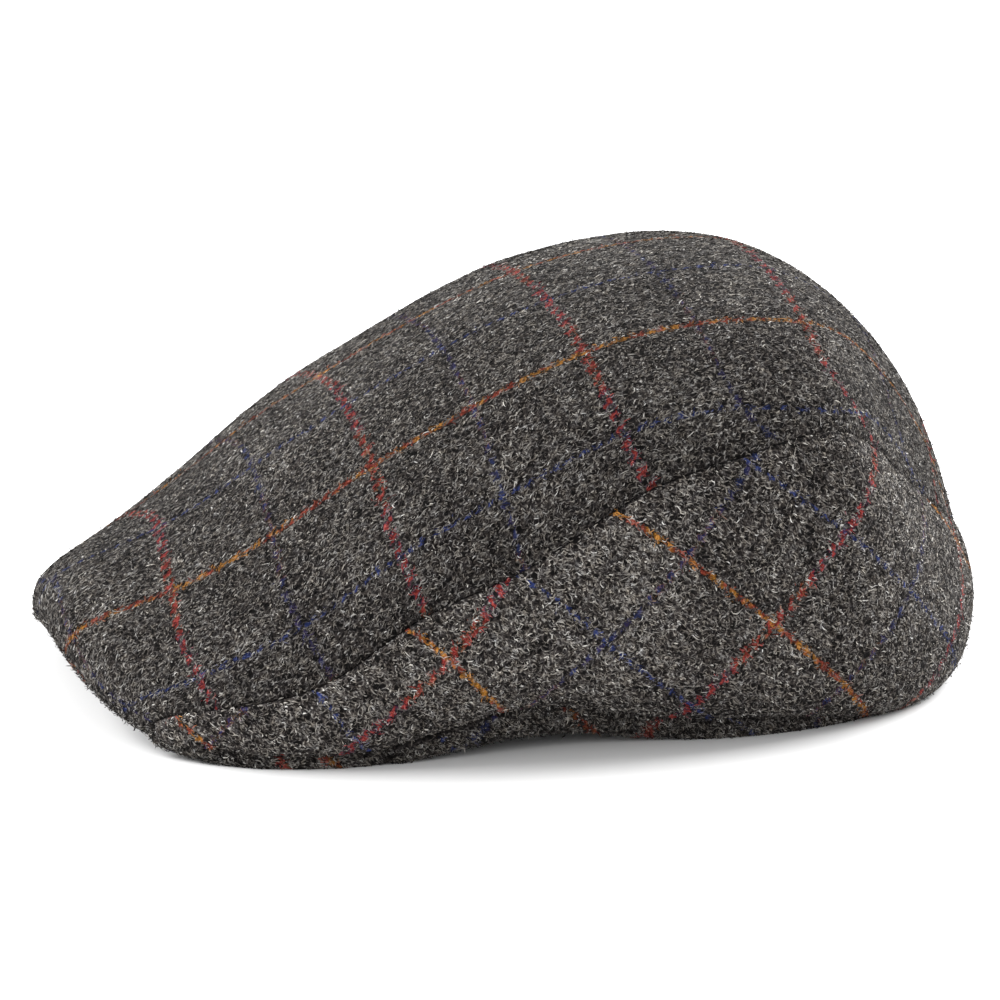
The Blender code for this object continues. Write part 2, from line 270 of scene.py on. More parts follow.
def peak_surface(across, inward):
    """Top face of the peak: across -1 to 1 between its rear corners, inward 0 to 1.

    It leaves its outer edge level, under the panels' cut edges, and then climbs to the
    forehead line, which is half an ellipse in plan and an arch in height.
    """
    outer = peak_edge(across)
    turn = across * 0.5 * math.pi
    corner = peak_edge(np.ones_like(across))
    front = peak_edge(np.zeros_like(across))
    arch = np.cos(turn) ** PEAK_ARCH
    inner = points((corner[..., 0] - PEAK_HORN) * np.sin(turn),
                   corner[..., 1] + (front[..., 1] + PEAK_DEPTH - corner[..., 1]) * np.cos(turn),
                   corner[..., 2] + (front[..., 2] + PEAK_RISE - corner[..., 2]) * arch)
    depth = np.linalg.norm(inner - outer, axis=-1)
    ledge = np.minimum(PEAK_LIP / depth, 0.5)
    first = 1 / PEAK_ROWS
    climb = np.clip((inward - first) / (1 - first), 0, 1)
    share = ledge * np.minimum(inward / first, 1) + (1 - ledge) * climb
    face = outer + (inner - outer) * share[..., None]
    face[..., 2] = outer[..., 2] + (inner[..., 2] - outer[..., 2]) * climb - PEAK_CLEAR
    return face


def band_surface(along, down):
    """Outer face of the band's left half: along from the peak's corner to the middle back."""
    top = rim_line(along)
    top[..., 2] -= GAP
    foot = smooth(RIM, "lift", along) * HEIGHT - FLOOR_PRESS
    top[..., 2] += (foot - top[..., 2]) * down
    return top


# Visual settings
MM = 0.001
UP = np.array([0.0, 0.0, 1.0])
MIRROR = np.array([-1.0, 1.0, 1.0])
SEED = 7
SIDE_TIP = 0.003  # share of the side panel's length left out at its front tip
BAND_START = PEAK_END - 0.006  # the band's ends lap over the peak's corners
RIPPLES = ((0.00035, 0.045, 3), (0.00018, 0.016, 4))  # depth, length and seed of the worn cloth's

# Even rows of points and the length they are for, beside the close rows at the edges.
TOP_ACROSS, TOP_ALONG = (52, 0.105), (150, 0.343)
SIDE_ALONG, SIDE_DOWN = (120, 0.33), (36, 0.065)
PEAK_ACROSS, PEAK_INWARD = 145, (4, 26)
BAND_ALONG = 321
BAND_DOWN = (0.0, 0.06, 0.14, 0.24, 0.38, 0.52, 0.66, 0.8, 0.9, 1.0)

# Seams and edges
SEAM_ROLL = 0.0016  # how far from a sewn edge the cloth starts to turn down
SEAM_ROWS = (0.0, 0.12, 0.3, 0.55, 0.85, 1.25)  # close rows of points there, in widths of the roll
SEAM_SPREAD = 1.6  # where the even rows begin, in widths of the close ones
SEAM_FADE = (0.030, 0.075)  # along Y, where fibres begin to hide the seams and hide them most
SEAM_LEAST = 0.30  # how much of a seam still shows there
SEAM_BARE = 0.0017  # width beside a seam where the fibres thin out
SEAM_DEPTH = 0.0011  # how deep a sewn edge lies below the cloth's face
SEAM_LAP = 0.0010  # how far the lining face is carried on at a seam, to close its gap
HEM_DROP = 0.0024  # how far the crown's edge comes down over the peak's
HEM_LEAST = 0.00001  # the least drop, which keeps the hem's rows apart
HEM_END = (-0.118, -0.100)  # the side panels' part of it, from full drop to none, along Y
HEM_ROWS = (1.0, 0.75, 0.5, 0.25)  # rows of points in the hem, as shares of its drop
HEM_LEAN = 0.25  # share of its drop by which it comes back inwards
HEM_WALL = 0.2  # share of the cloth's wall left in that folded edge
PEAK_INSET = 0.09  # share of its depth the peak's flat face keeps off its edge
PEAK_ROUND = 0.95  # how full the round of the peak's inner edge is
RIM_RINGS = 5  # rings of points in it

# Fibres
FLOOR_CLEAR = 0.0004  # fibres rooted lower than this are left out
FIBRE_COUNT = {"top": 141000, "side": 45000, "peak": 9000, "band": 16000}
FIBRE_STEP = 0.70  # mm, each of a fibre's three steps, before chance
STEP_CHANCE, STEP_RANGE = (-0.2, 0.35), (0.4, 1.7)  # its logarithm's mean and spread, and its limits
FIBRE_HALF = (0.09, 0.18)  # mm, half its width
FIBRE_ROOT = -0.05  # mm, its start below the cloth's face
FIBRE_WARP = 0.6  # share of the fibres that follow the warp
WARP_SLANT = (0.3, 0.45)  # radians, their slant's mean and spread
FIBRE_CURL = 1.0  # radians, spread of a fibre's turn at each step
FIBRE_TILT = 0.6  # radians, how far it may lean on its edge
RIB_SHARE = (0.3, 0.9)  # share of fibres kept between the ribs, and the rise on them
FIBRE_LOOSE = 0.04  # share of them that stand off the cloth
LOOSE_LIFT, LYING_LIFT = (0.3, 0.9), (0.03, 0.22)  # mm, how high both kinds lie
LOOSE_END, LYING_END = (0.2, 1.3), (-0.1, 0.15)  # mm, height of their ends
FIBRE_TONES = (0.02, 0.27, 0.53, 0.80)  # black, dark, light and white wool
FIBRE_SHARES = (0.30, 0.30, 0.37, 0.03)  # how much of it is in each tone
TONE_SPREAD = 0.09

# Wool: its greys by tone, and how it varies
WOOL_GREYS = ((0.0, "#100f0f"), (0.30, "#3a3635"), (0.60, "#86827d"), (1.0, "#dedbd6"))
WARM, COOL = (1.13, 1.05, 0.91, 1.0), (0.90, 0.97, 1.08, 1.0)
DYE = 0.635  # how dark the dyed wool is beside the colours named for its yarns
SIDE_PAINTED_LIGHT = (1.75, 1.4)  # painted light: how much lighter the left panel is painted, in front and behind, as the lamps light it less
PAINTED_LIGHT_TURN = (-0.02, 0.08)  # along Y, where that painted light begins and ceases to change
TWILL = 1.2  # mm between the twill's ribs
RIB_WAY = (0.8, 0.6)  # direction across the ribs
RIB_WAVER = 0.8  # ribs by which they stray
MOTTLE = {"cloth": 0.40, "fibre": 0.5}
PAINTED_SHADE_DARK = -0.7  # painted shade: how much tone is taken away beside the seams, most at the seam itself
RIB_RELIEF = 0.7  # height of the ribs beside that of the curled threads
BUMP_DEPTH, BUMP_SHARE = 0.0003, 0.6  # the woven relief's height and how much of it is used
YARN_SHOWN = 0.9  # how much of a yarn's colour shows in a line
WHITE_TONE = 0.72  # fibres lighter than this are left undyed

# What a Mix node needs for colours, which are its inputs 6 and 7
COLOURS = {"data_type": "RGBA", "out": 2}

# Gains and offsets: a value times the first plus the second
PATCH_GAIN, CLOUD_GAIN = (0.9, -0.45), (0.5, -0.25)  # of both noises, for the mottling
THREAD_GAINS = ((1.6, -0.25), (-1.6, 1.35), (0.0, 0.5))  # of a noise, for each kind of threads
RIB_GAIN = (0.6, 0.62)  # of the ribs' height, for the light of threads on them
YARN_GAIN = (1.5, 0.5)  # of the tone, for the lightness of the coloured yarns
DYED_GAIN = (0.8, 0.1)  # of dyed or not, for how much of a line shows on a fibre
STRAY_GAIN = (7.0, -3.0)  # of a noise, for how far the odd lines' dye has changed
FILL_GAIN = (2.5, -1.0)  # of "keep" below, for the filling of the gaps between dashes
DASH_EDGE, LINE_EDGE = 5.0, 3.5  # how sharply dashes end and lines' sides are drawn

# Curled light threads on the cloth's face: cells for each metre, half width in the noise, offset
THREADS = ((400, 0.070, 0.0), (480, 0.075, 1.7), (350, 0.055, 3.1))

# Noises: cells for each metre, detail and roughness
NOISES = {
    "blot": (620, 1.0, 0.6),  # ragged ends of the lines' dashes
    "drift": (240, 1.0, 0.6),  # change of dye along the odd lines
    "patches": (260, 3.0, 0.65),  # small mottling
    "clouds": (45, 2.0, 0.5),  # broad mottling
    "fade": (900, 0.0, 0.6),  # which threads come to light
    "warmth": (520, 1.0, 0.6),  # warm and cool wool
}

# The check's lengthwise and cross lines. "even" and "odd" are the lines' colours and "stray" is
# the one that the odd lines change to. The pairs are for the even and the odd lines: half their
# width in mm and how much of the gaps between their dashes is filled. "dash" is in mm.
LENGTHWISE = {"even": "#293668", "odd": "#a06c2c", "stray": "#82382a",
              "width": (0.75, 0.95), "keep": (0.00, 0.30), "dash": 3.8}
CROSS = {"even": "#8c3430", "odd": "#30284a", "stray": "#273056",
         "width": (1.55, 0.85), "keep": (0.06, 0.10), "dash": 4.8}
LINE_WAVER = 0.05  # check steps by which a line's middle strays
DASH_WAVER = 0.7  # turns by which a dash's ends stray
WIDTH_WAVER = 1.6  # mm by which a line's half width changes

# Where the check lies, in mm. On the top panel the first lengthwise line is TOP_START[0] beside
# the middle and the first cross line TOP_START[1] from the front.
CHECK = 33.5  # between neighbouring lines in the flat cloth
TOP_START = (20.0, 35.0)
SWEEP_FROM, BOW_TO = 0.6, 0.7  # shares of the half width where "sweep" begins and "bow" ends

# The side panels and the band are cut on the slant. Each family's line crosses them at "start"
# along their length at height 0, moves back by "lean" for each mm of height and comes again after
# "step". "turn" counts the lines on, which swaps the colours of the even and the odd ones.
# SIDE_FROM and BAND_FROM are the length before their first points, and the side panels' height
# is counted from SIDE_LEVEL.
SIDE_FROM, SIDE_LEVEL = 4.0, 40.0
SIDE_LINES = ((77.0, 1.303, 50.0, 1.0), (97.0, -0.869, 45.5, 0.0))
BAND_FROM = 74.0
BAND_LINES = ((136.0, 1.0, 42.0, 1.0), (144.0, -1.0, 52.0, 0.0))
PEAK_CORNER = 85.0  # from the middle to where the peak's lines are counted from
PEAK_STARTS = (75.0, 88.0)  # how far in front of the frame's middle the first ones lie there
PEAK_PITCH = 0.021  # lines for each mm

DRAPE_COLUMNS = ("along", "drift", "grow", "sweep", "bow")
DRAPE_ROWS = (
    (0.00, 30.0, 1.00, 10.0, 9.0),
    (0.06, 19.0, 1.00, 12.0, 9.0),
    (0.16, 7.0, 1.00, 40.0, 8.0),
    (0.30, 1.5, 1.00, 33.0, 5.0),
    (0.40, 0.0, 1.00, 13.0, 2.5),
    (0.55, -2.0, 1.00, 35.0, 1.0),
    (0.65, -3.0, 1.00, 70.0, 0.0),
    (0.75, -3.0, 1.05, 130.0, 0.0),
    (0.79, -3.0, 1.15, 120.0, 0.0),
    (0.87, -3.0, 1.30, 70.0, 0.0),
    (1.00, -3.0, 1.50, 0.0, 0.0),
)
DRAPE = read_table(DRAPE_COLUMNS, DRAPE_ROWS)

# How the side panels hang over the band, in mm. "along" is the share of LENGTH from the middle,
# "drop" is how far their lower edge comes down over it, "lean" how far that edge turns in and
# "tuck" how far the band's face is moved in.
LAP_COLUMNS = ("along", "drop", "lean", "tuck")
LAP_ROWS = (
    (-0.15, 0.0, 0.0, 0.0),
    (-0.07, 0.0, 0.0, 0.7),
    (0.00, 1.0, 0.0, 1.8),
    (0.07, 2.0, 0.0, 2.1),
    (0.20, 2.6, 0.1, 2.0),
    (0.28, 6.0, 1.2, 2.8),
    (0.34, 8.6, 2.3, 3.8),
    (0.40, 8.9, 2.6, 4.1),
    (0.48, 8.9, 2.6, 4.1),
)
LAP = read_table(LAP_COLUMNS, LAP_ROWS)
LAP_KEPT = 0.3  # share of its height that the band keeps at least

# From the shape functions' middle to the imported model's
FRONT = top_surface(np.array(0.0), np.array(0.0))
SHIFT = np.array([0.0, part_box("peak")[0].y - float(FRONT[1]), 0.0])


def srgb(code):
    """Turn a hex colour into linear RGBA."""
    values = [int(code[i:i + 2], 16) / 255 for i in (1, 3, 5)]
    return tuple(v / 12.92 if v <= 0.04045 else ((v + 0.055) / 1.055) ** 2.4 for v in values) + (1.0,)


# Surfaces
def fine_shares(low, count, length):
    """Shares from low to 1 in even steps, with a few closer steps near each end for the seam."""
    near = (1.0 - low) * SEAM_ROLL / length * np.array(SEAM_ROWS)
    start = near[-1] * SEAM_SPREAD
    return np.concatenate([low + near, np.linspace(low + start, 1.0 - start, count), 1.0 - near[::-1]])


def along_axis(sheet, axis):
    """Arc length of each point of a sheet from its first row along an axis."""
    steps = np.linalg.norm(np.diff(sheet, axis=axis), axis=-1)
    start = np.zeros_like(np.take(steps, [0], axis=axis))
    return np.concatenate([start, np.cumsum(steps, axis=axis)], axis=axis)


def normals(sheet):
    """Unit normals of a sheet of points."""
    return unit(np.cross(np.gradient(sheet, axis=0), np.gradient(sheet, axis=1)))


def edge_distance(sheet, sides):
    """Distance of each point from the nearest of the named edges: pairs of an axis and an end."""
    away = np.full(sheet.shape[:2], 1.0)
    for axis, end in sides:
        arc = along_axis(sheet, axis)
        away = np.minimum(away, arc if end == 0 else np.take(arc, [-1], axis=axis) - arc)
    return away


def seam_share(sheet):
    """How much of a seam shows at each point: all of it in front, little towards the back."""
    return np.interp(sheet[..., 1], SEAM_FADE, (1.0, SEAM_LEAST))


def roll_edges(sheet, sides):
    """Turn a sheet's named edges down like a quarter round, less where the seams hardly show."""
    inside = np.clip(1 - edge_distance(sheet, sides) / SEAM_ROLL, 0, 1)
    drop = SEAM_DEPTH * seam_share(sheet) * (1 - np.sqrt(np.clip(1 - inside ** 2, 0, 1)))
    return sheet - normals(sheet) * drop[..., None]


def lap_edges(sheet, sides):
    """Carry a sheet's named edges a little further on."""
    longer = sheet.copy()
    for axis, end in sides:
        edge, near = (0, 1) if end == 0 else (-1, -2)
        rows, target = np.moveaxis(sheet, axis, 0), np.moveaxis(longer, axis, 0)
        target[edge] += unit(rows[edge] - rows[near]) * SEAM_LAP
    return longer


def soft_noise(shape_points, scale, seed):
    """Smooth ripples: a sum of eight sine waves of random direction and about the given length."""
    rng = np.random.default_rng(seed)
    total = 0
    for _ in range(8):
        way = unit(rng.normal(size=3))
        wave = scale * rng.uniform(0.7, 1.5)
        total = total + np.sin(shape_points @ way * 2 * math.pi / wave + rng.uniform(0, 6.3))
    return total / 8


def ripple(sheet, facing=1.0):
    """Push a sheet in and out by soft low ripples, as worn wool cloth has."""
    waves = sum(depth * soft_noise(sheet, length, seed) for depth, length, seed in RIPPLES)
    return sheet + normals(sheet) * facing * waves[..., None]


def lap(column, y):
    """Read a column of the lap's table at places along Y, in metres and ready to scale points."""
    return smooth(LAP, column, np.clip(y / LENGTH, LAP_ROWS[0][0], LAP_ROWS[-1][0]))[..., None] * MM


def slant(arc, height, lines):
    """Place in slanted cloth, in check steps, by length and height in mm and a table of lines."""
    return np.stack([(arc - start + height * lean) / step + turn
                     for start, lean, step, turn in lines], axis=-1)


def top_cloth():
    """Face of the top panel and its place in the flat cloth, in check steps."""
    half = fine_shares(0.0, *TOP_ACROSS)
    across = np.concatenate([-half[::-1], half[1:]])
    a, t = np.meshgrid(across, fine_shares(0.0, *TOP_ALONG), indexing="ij")
    sheet = top_surface(a, t)
    middle = len(half) - 1
    arc = along_axis(sheet, 0) / MM
    arc = arc - arc[middle]
    ridge = along_axis(sheet, 1)[middle] / MM
    drift, grow, sweep, bow = (smooth(DRAPE, c, t) for c in DRAPE_COLUMNS[1:])
    u = (arc * grow - TOP_START[0] + drift) / CHECK
    back = (sweep * np.clip(np.abs(a) - SWEEP_FROM, 0, 1) ** 2
            + bow * np.clip(1 - np.abs(a) / BOW_TO, 0, 1))
    v = (ridge[None, :] - TOP_START[1] - back) / CHECK
    return sheet, np.stack([u, v], axis=-1)


def side_cloth():
    """Face of the left side panel and its place in its slanted cloth, in check steps.

    The ends of its sections' cubic curves are moved down over the band and in, and the points
    before them, which set the curves' last direction, are moved down half as far.
    """
    down = fine_shares(0.0, *SIDE_DOWN)
    w, v = np.meshgrid(fine_shares(SIDE_TIP, *SIDE_ALONG), down, indexing="ij")
    sheet = side_surface(w, v)
    arc = along_axis(sheet, 0)[:, [len(down) // 2]] / MM + SIDE_FROM
    y, low = sheet[:, -1:, 1], v[..., None]
    sheet = sheet - (outward(w) * lap("lean", y) + UP * lap("drop", y)) * low ** 3
    sheet = sheet - UP * lap("drop", y) * 1.5 * low ** 2 * (1 - low)
    return sheet, slant(arc, sheet[..., 2] / MM - SIDE_LEVEL, SIDE_LINES)


def peak_cloth():
    """Top face of the peak and its place in the cloth."""
    lip = 1 / PEAK_ROWS
    inward = np.concatenate([np.linspace(PEAK_INSET, lip, PEAK_INWARD[0]),
                             np.linspace(lip, 1, PEAK_INWARD[1])[1:]])
    a, i = np.meshgrid(np.linspace(-1, 1, PEAK_ACROSS), inward, indexing="ij")
    sheet = peak_surface(a, i)
    x, y = np.abs(sheet[..., 0]) / MM - PEAK_CORNER, sheet[..., 1] / MM
    return sheet, np.stack([(y + PEAK_STARTS[0] - x) * PEAK_PITCH + 1,
                            (y + PEAK_STARTS[1] + x) * PEAK_PITCH], axis=-1)


def band_cloth():
    """Outer face of the band, from the right corner round the back, and its place in the cloth.

    Where the side panels hang over it, it is tucked in and its top lies at their edge, but keeps
    LAP_KEPT of its height.
    """
    s, d = np.meshgrid(np.linspace(-1, 1, BAND_ALONG), BAND_DOWN, indexing="ij")
    share = BAND_START + (1 - BAND_START) * (1 - np.abs(s))
    sheet = band_surface(share, d)
    y = sheet[..., 1]
    sheet = sheet - outward(share) * lap("tuck", y)
    room = (sheet[:, :1, 2:] - sheet[:, -1:, 2:]) * (1 - LAP_KEPT)
    sheet = sheet - UP * np.minimum(lap("drop", y), room) * (1 - d[..., None])
    sheet[..., 0] *= np.sign(s)
    arc = along_axis(sheet, 0) / MM
    arc = arc[-1] - arc
    arc = np.where(s > 0, arc, arc[0] - arc) + BAND_FROM
    return sheet, slant(arc, sheet[..., 2] / MM, BAND_LINES)


# Meshes
def make_mesh(name, verts, faces, uv, smooth_faces=True):
    """Make an object from arrays: points, faces of one size and a UV pair for each point."""
    mesh = bpy.data.meshes.new(name)
    size = faces.shape[1]
    mesh.vertices.add(len(verts))
    mesh.vertices.foreach_set("co", verts.astype(np.float32).ravel())
    mesh.loops.add(faces.size)
    mesh.loops.foreach_set("vertex_index", faces.astype(np.int32).ravel())
    mesh.polygons.add(len(faces))
    mesh.polygons.foreach_set("loop_start", np.arange(0, faces.size, size, dtype=np.int32))
    layer = mesh.uv_layers.new(name="cloth")
    layer.data.foreach_set("uv", uv[faces.ravel()].astype(np.float32).ravel())
    mesh.update(calc_edges=True)
    mesh.validate()
    if smooth_faces:
        mesh.shade_smooth()
    piece = bpy.data.objects.new(name, mesh)
    bpy.context.scene.collection.objects.link(piece)
    return piece


def finish_piece(piece, node, material, attribute, values):
    """Give a piece its material and points' values, and let it stand for a node of the solids."""
    layer = piece.data.attributes.new(attribute, "FLOAT", "POINT")
    layer.data.foreach_set("value", values.astype(np.float32))
    piece.data.materials.append(material)
    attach(piece, "root")
    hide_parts(node)


def add_hem(sheet, uv, drops):
    """Carry a sheet's first column down over the edge below it, by a drop for each row.

    The hem comes back inwards by HEM_LEAN of its drop times the square of the share of it, in
    the level direction of the sheet's own next points.
    """
    shares = np.array(HEM_ROWS)[:, None]
    inward = unit((sheet[:, 4] - sheet[:, 0]) * (1 - UP))[:, None]
    fall = drops[:, None, None] * shares
    hem = sheet[:, :1] + inward * fall * HEM_LEAN * shares - UP * fall
    step = np.linalg.norm(sheet[:, 1] - sheet[:, 0], axis=-1)[:, None, None]
    hem_uv = uv[:, :1] + (uv[:, :1] - uv[:, 1:2]) / step * fall
    return np.concatenate([hem, sheet], axis=1), np.concatenate([hem_uv, uv], axis=1)


def rim_sheet(sheet, uv, wall):
    """The half round along a shell's first column, from its face down to its lining face."""
    first = sheet[:, 0]
    last = first - normals(sheet)[:, 0] * wall
    half = wall / 2
    onward = unit(first - sheet[:, 1])
    t = np.linspace(0, math.pi, 9)[:, None]
    first, last, onward, middle = (rows[:, None] for rows in (first, last, onward, (first + last) / 2))
    rim = middle + (first - last) / 2 * np.cos(t) + onward * half * np.sin(t)
    way = unit(uv[:, 0] - uv[:, 1])[:, None]
    return rim, uv[:, :1] + way * half * t / MM / CHECK


def border(rows, columns):
    """Row and column of each point round a grid's border, from its first corner."""
    i = np.concatenate([np.arange(rows), np.full(columns - 1, rows - 1),
                        np.arange(rows - 1)[::-1], np.zeros(columns - 2, int)])
    j = np.concatenate([np.zeros(rows, int), np.arange(1, columns),
                        np.full(rows - 1, columns - 1), np.arange(1, columns - 1)[::-1]])
    return i, j


def add_cloth(name, node, sheet, uv, wall, material, facing=1.0, rounded=0.0, under=None, seams=()):
    """Make one panel of cloth as a closed shell: its face, a lining face a wall inwards and the rim.

    rounded swells the rim by that share of half the wall, as a half round. under is the sheet
    the lining face is measured from, where it isn't the face itself. Nothing of a shell lies
    below the floor. A point attribute holds painted shade, which darkens the face beside the
    edges that seams names.
    """
    base = sheet if under is None else under
    inner = base - normals(base) * facing * np.asarray(wall)[..., None]
    inner = lap_edges(inner, seams)
    rows, columns = sheet.shape[:2]
    count = rows * columns
    index = np.arange(count).reshape(rows, columns)
    quads = np.stack([index[:-1, :-1], index[1:, :-1], index[1:, 1:], index[:-1, 1:]], axis=-1)
    quads = quads.reshape(-1, 4)
    i, j = border(rows, columns)
    near_i, near_j = np.clip(i, 1, rows - 2), np.clip(j, 1, columns - 2)
    first, last = sheet[i, j], inner[i, j]
    half = np.linalg.norm(last - first, axis=-1, keepdims=True) / 2
    onward = unit(first - sheet[near_i, near_j] + last - inner[near_i, near_j])
    uv_way = unit(uv[i, j] - uv[near_i, near_j])
    verts, places = [sheet.reshape(-1, 3), inner.reshape(-1, 3)], [uv.reshape(-1, 2)] * 2
    rings = [index[i, j]]
    for k in range(1, RIM_RINGS + 1 if rounded else 1):
        angle = k * math.pi / (RIM_RINGS + 1)
        rings.append(2 * count + (k - 1) * len(i) + np.arange(len(i)))
        verts.append((first + last) / 2 + (first - last) / 2 * math.cos(angle)
                     + onward * half * math.sin(angle) * rounded)
        places.append(uv[i, j] + uv_way * half * angle / MM / CHECK)
    rings.append(count + index[i, j])
    faces = [quads, quads[:, ::-1] + count]
    for one, two in zip(rings, rings[1:]):
        faces.append(np.stack([one, two, np.roll(two, -1), np.roll(one, -1)], axis=-1))
    faces = np.concatenate(faces)
    if facing < 0:
        faces = faces[:, ::-1]
    verts = np.concatenate(verts) + SHIFT
    verts[:, 2] = np.maximum(verts[:, 2], 0.0)
    piece = make_mesh(name, verts, faces, np.concatenate(places))
    # Painted shade beside the seamed edges, less towards the back where the seams hardly show
    painted_seam_shade = np.zeros(len(verts))
    shade = np.clip(1 - edge_distance(sheet, seams) / SEAM_ROLL, 0, 1) ** 1.5 * seam_share(sheet)
    painted_seam_shade[:count] = shade.ravel()
    finish_piece(piece, node, material, "painted_seam_shade", painted_seam_shade)


def grain(sheet, uv):
    """Unit direction of the warp on a sheet, along which the cloth's second place grows."""
    across, down = np.gradient(sheet, axis=0), np.gradient(sheet, axis=1)
    one, two = np.gradient(uv, axis=0), np.gradient(uv, axis=1)
    turn = np.sign(one[..., 0] * two[..., 1] - one[..., 1] * two[..., 0])[..., None]
    return unit((down * one[..., :1] - across * two[..., :1]) * turn)


def add_fibres(name, node, sheet, uv, count, material, facing, seed, seams=()):
    """Strew short curled wool fibres over a face, as one mesh.

    Each fibre is a flat ribbon along three short steps whose heading turns steadily. It starts
    and ends in a point, lies on the cloth by its own small lift, and a few stand well off it.
    More than half of them follow the warp, and more grow on the twill's ribs than between them.
    Few grow beside the edges that seams names, but more towards the back. None goes below the floor.
    """
    rng = np.random.default_rng(seed)
    away = normals(sheet) * facing
    corners = (sheet[:-1, :-1], sheet[1:, :-1], sheet[:-1, 1:])
    area = np.linalg.norm(np.cross(corners[1] - corners[0], corners[2] - corners[0]), axis=-1)
    bare = np.clip(1 - edge_distance(sheet, seams) / SEAM_BARE, 0, 0.9) * seam_share(sheet)
    area = area * (1 - bare)[:-1, :-1]
    columns = area.shape[1]
    cell = np.searchsorted(np.cumsum(area.ravel()) / area.sum(), rng.random(count))
    i, j = cell // columns, cell % columns
    p, q = rng.random((2, count, 1))

    def at(grid_values):
        """Blend a grid's values at the chosen places."""
        return ((grid_values[i, j] * (1 - p) + grid_values[i + 1, j] * p) * (1 - q)
                + (grid_values[i, j + 1] * (1 - p) + grid_values[i + 1, j + 1] * p) * q)

    root, out, place, first = at(sheet), unit(at(away)), at(uv), at(grain(sheet, uv))
    rib = np.abs((place @ np.array(RIB_WAY) * CHECK / TWILL) % 1.0 - 0.5) * 2
    kept = (root[:, 2] > FLOOR_CLEAR) & (rng.random(count) < RIB_SHARE[0] + RIB_SHARE[1] * rib)
    root, out, place, first, count = root[kept], out[kept], place[kept], first[kept], int(kept.sum())
    second = np.cross(out, first)
    step = np.clip(rng.lognormal(*STEP_CHANCE, count), *STEP_RANGE)[:, None] * MM * FIBRE_STEP
    heading = np.where(rng.random(count) < FIBRE_WARP, rng.normal(*WARP_SLANT, count),
                       rng.uniform(0, 2 * math.pi, count))
    turn = rng.normal(0, FIBRE_CURL, count)
    loose = rng.random(count) < FIBRE_LOOSE
    lift = np.where(loose, rng.uniform(*LOOSE_LIFT, count), rng.uniform(*LYING_LIFT, count)) * MM
    end = np.where(loose, rng.uniform(*LOOSE_END, count), rng.uniform(*LYING_END, count)) * MM
    heights = np.stack([np.full(count, FIBRE_ROOT * MM), lift, lift, end])[..., None]
    spots = [root]
    for k in range(3):
        angle = (heading + turn * (k - 1))[:, None]
        spots.append(spots[-1] + (first * np.cos(angle) + second * np.sin(angle)) * step)
    spots = [s + out * h for s, h in zip(spots, heights)]
    broad = rng.uniform(*FIBRE_HALF, count)[:, None] * MM
    tilt = rng.uniform(-FIBRE_TILT, FIBRE_TILT, count)[:, None]
    middle = unit(spots[2] - spots[1])
    edge = unit(np.cross(out, middle)) * np.cos(tilt) + out * np.sin(tilt)
    verts = np.stack([spots[0], spots[1] - edge * broad, spots[1] + edge * broad,
                      spots[2] - edge * broad, spots[2] + edge * broad, spots[3]], axis=1)
    verts += SHIFT
    verts[..., 2] = np.maximum(verts[..., 2], 0.0)
    base = np.arange(count)[:, None, None] * 6
    faces = (base + np.array([[0, 1, 2], [1, 3, 2], [2, 3, 4], [3, 5, 4]])).reshape(-1, 3)
    piece = make_mesh(name, verts.reshape(-1, 3), faces, np.repeat(place, 6, axis=0), False)
    kinds = rng.choice(FIBRE_TONES, count, p=FIBRE_SHARES)
    tone = np.clip(kinds + rng.normal(0, TONE_SPREAD, count), 0, 1)
    finish_piece(piece, node, material, "tone", np.repeat(tone, 6))


# Materials
def add_node(tree, kind, *values, out=0, **settings):
    """Add a shader node and return one of its outputs, by number or name.

    kind is its type and, after a dot, its operation. Values are for its first inputs. Settings
    name its fields or, after in_, other inputs. An input takes a value or, as a link, an output.
    """
    kind, _, operation = kind.partition(".")
    node = tree.nodes.new("ShaderNode" + kind)
    if operation:
        node.operation = operation
    inputs = dict(enumerate(values))
    for key, value in settings.items():
        if key.startswith("in_"):
            name = key[3:]
            inputs[int(name) if name.isdigit() else name.replace("_", " ")] = value
        else:
            setattr(node, key, value)
    for key, value in inputs.items():
        if isinstance(value, bpy.types.NodeSocket):
            tree.links.new(value, node.inputs[key])
        else:
            node.inputs[key].default_value = value
    return node.outputs[out]


def matt(name, **values):
    """A new material and its shader, whose inputs take the values; _ stands for a space."""
    material = bpy.data.materials.new(name)
    material.use_nodes = True
    shader = material.node_tree.nodes["Principled BSDF"]
    for key, value in values.items():
        shader.inputs[key.replace("_", " ")].default_value = value
    return material, shader


def multiply_grey(tree, colour, grey):
    """Multiply a colour by a grey."""
    shade = add_node(tree, "CombineColor", grey, grey, grey)
    return add_node(tree, "Mix", 1.0, in_6=colour, in_7=shade, blend_type="MULTIPLY", **COLOURS)


def worms(tree, vector, scale, width, offset):
    """Curled light threads: the narrow band where a soft noise crosses its middle value."""
    moved = add_node(tree, "VectorMath.ADD", vector, (offset, offset * 0.7, -offset))
    level = add_node(tree, "TexNoise", moved, in_Scale=scale, in_Detail=1.0, in_Roughness=0.45)
    off = add_node(tree, "Math.ABSOLUTE", add_node(tree, "Math.SUBTRACT", level, 0.5))
    return add_node(tree, "Math.SUBTRACT", 1.0, add_node(tree, "Math.DIVIDE", off, width), use_clamp=True)


